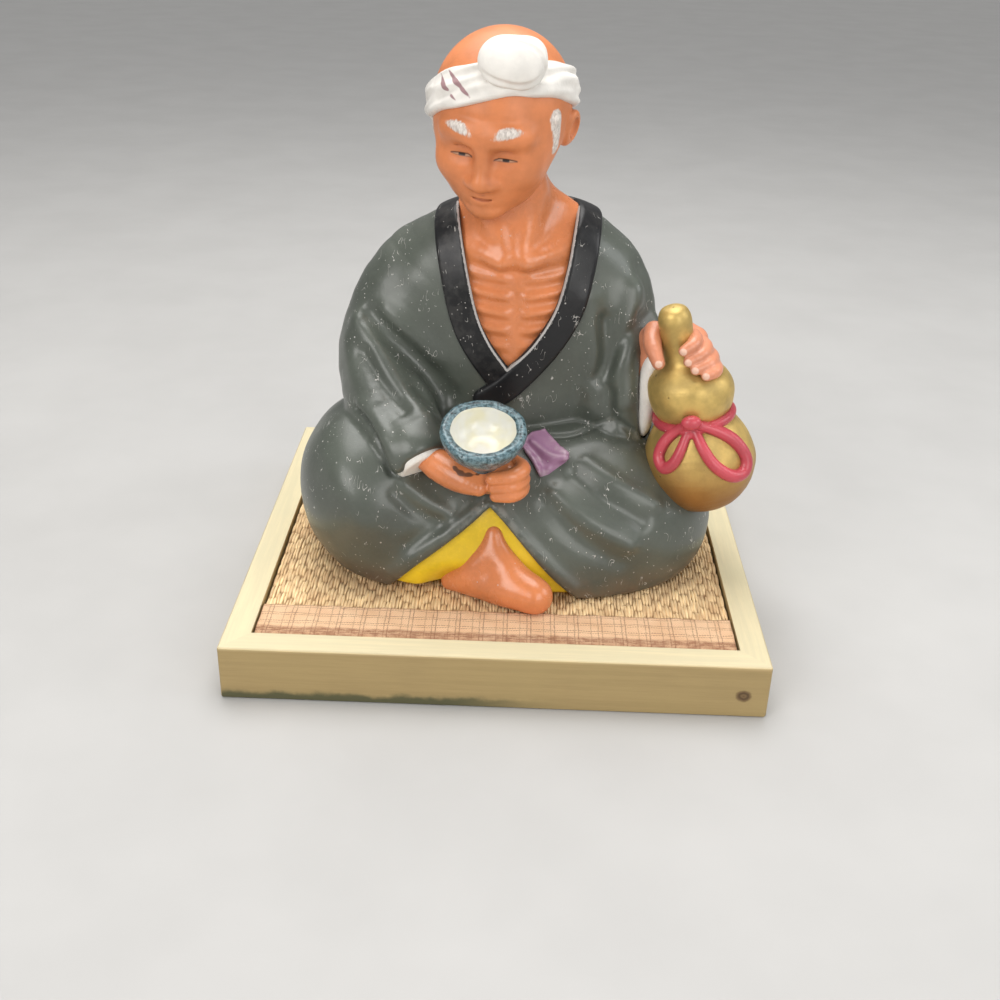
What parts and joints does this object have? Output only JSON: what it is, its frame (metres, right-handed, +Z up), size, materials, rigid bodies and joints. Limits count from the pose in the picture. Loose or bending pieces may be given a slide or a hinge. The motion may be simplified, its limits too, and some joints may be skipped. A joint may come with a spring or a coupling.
{
  "type": "okimono figure on a mat stand",
  "caption": "Painted fired-clay figure of a seated old man with a sake cup and a gourd flask, set on a wood-framed rush mat stand; a table ornament.",
  "frame": {"origin": "centre of the stand's underside, on the table", "axes": "+Z up, -Y towards the viewer, whom the figure faces, +X to the viewer's right"},
  "size_m": [0.1261, 0.122, 0.1438],
  "materials": {
    "pale_wood": "planed pale softwood, bare",
    "steel": "plain",
    "board": "thin plywood, bare",
    "straw_board": "pressed straw board",
    "rush": "woven rush, aged to tan",
    "edging_cloth": "woven cloth with brown lines",
    "robe_paint": "dark grey-green paint on fired clay, satin",
    "collar_paint": "black paint on fired clay, glossy",
    "white_paint": "white paint on fired clay",
    "skin_paint": "terracotta paint on fired clay, satin",
    "yellow_paint": "yellow paint on fired clay",
    "purple_paint": "purple paint on fired clay",
    "cup_glaze": "blue-green glaze, pale inside",
    "gold_paint": "gold paint on fired clay",
    "red_paint": "red paint on fired clay"
  },
  "bodies": {
    "stand": {"frame_front_rail": "pale_wood", "frame_back_rail": "pale_wood", "frame_left_rail": "pale_wood", "frame_right_rail": "pale_wood", "corner_v_nails": "steel", "base_board": "board", "mat_core": "straw_board", "rush_facing": "rush", "edging_front": "edging_cloth", "edging_back": "edging_cloth"},
    "figure": {"robe_front_shell": "robe_paint", "robe_back_shell": "robe_paint", "sleeve_right": "robe_paint", "sleeve_left": "robe_paint", "collar_right": "collar_paint", "collar_left": "collar_paint", "cuff_right": "white_paint", "cuff_left": "white_paint", "headband": "white_paint", "headband_knot": "white_paint", "chest": "skin_paint", "head": "skin_paint", "hand_right": "skin_paint", "hand_left": "skin_paint", "foot": "skin_paint", "hem_lining": "yellow_paint", "sash_end": "purple_paint", "sake_cup": "cup_glaze", "gourd_flask": "gold_paint", "gourd_cord": "red_paint", "gourd_bow": "red_paint"}
  },
  "joints": [
    {"name": "figure_lift", "type": "slide", "parent": "stand", "child": "figure", "axis": [0, 0, 1], "range_m": [0, 0.06]}
  ]
}
